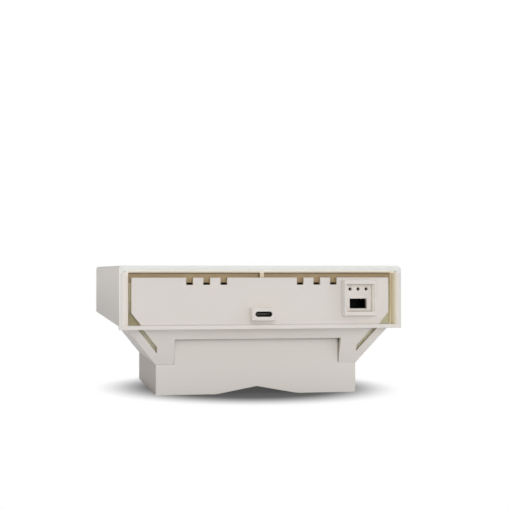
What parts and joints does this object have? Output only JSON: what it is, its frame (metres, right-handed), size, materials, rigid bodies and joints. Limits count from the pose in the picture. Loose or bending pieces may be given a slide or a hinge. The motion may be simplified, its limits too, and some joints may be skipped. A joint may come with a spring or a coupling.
{
  "type": "outdoor temperature sensor",
  "caption": "Outdoor temperature sensor: a box-shaped inner housing under a double-wall sun shield, on a back shell with flared sides and a V-grooved pole saddle.",
  "frame": {"origin": "under the middle of the whole object's box, in the plane of the saddle's feet", "axes": "+Y along the pole, away from the end with the vents and the socket; +Z away from the pole, towards the sun shield's roof; +X across, to the side with the square frame"},
  "size_m": [0.14, 0.2226, 0.064],
  "materials": {
    "shell_plastic": "warm off-white, fine moulded texture, weather resistant",
    "panel_plastic": "warm off-white, fine moulded texture",
    "case_plastic": "warm off-white, as moulded",
    "board_green": "green solder resist over laminate",
    "chip_black": "black moulded resin",
    "plated_metal": "nickel or tin plated sheet",
    "can_aluminium": "drawn aluminium",
    "module_steel": "plated steel can",
    "brass_insert": "turned brass",
    "screw_steel": "stainless steel"
  },
  "bodies": {
    "root": {"sun_shield": "shell_plastic", "back_shell": "shell_plastic", "pole_saddle": "shell_plastic", "front_panel": "panel_plastic", "module_face": "panel_plastic", "case_tray": "case_plastic", "case_lid": "case_plastic", "main_board": "board_green", "sensor_board": "board_green", "radio_module": "board_green", "processor_chip": "chip_black", "voltage_regulator": "chip_black", "power_inductor": "chip_black", "module_header": "chip_black", "sensor_header": "chip_black", "usb_tongue": "chip_black", "temperature_element": "chip_black", "usb_socket": "plated_metal", "radio_can": "plated_metal", "antenna": "plated_metal", "storage_capacitors": "can_aluminium", "sampling_module": "module_steel", "threaded_inserts": "brass_insert", "board_screws": "screw_steel", "lid_screws": "screw_steel", "case_screws": "screw_steel", "shield_screws": "screw_steel", "saddle_screws": "screw_steel"}
  },
  "joints": []
}
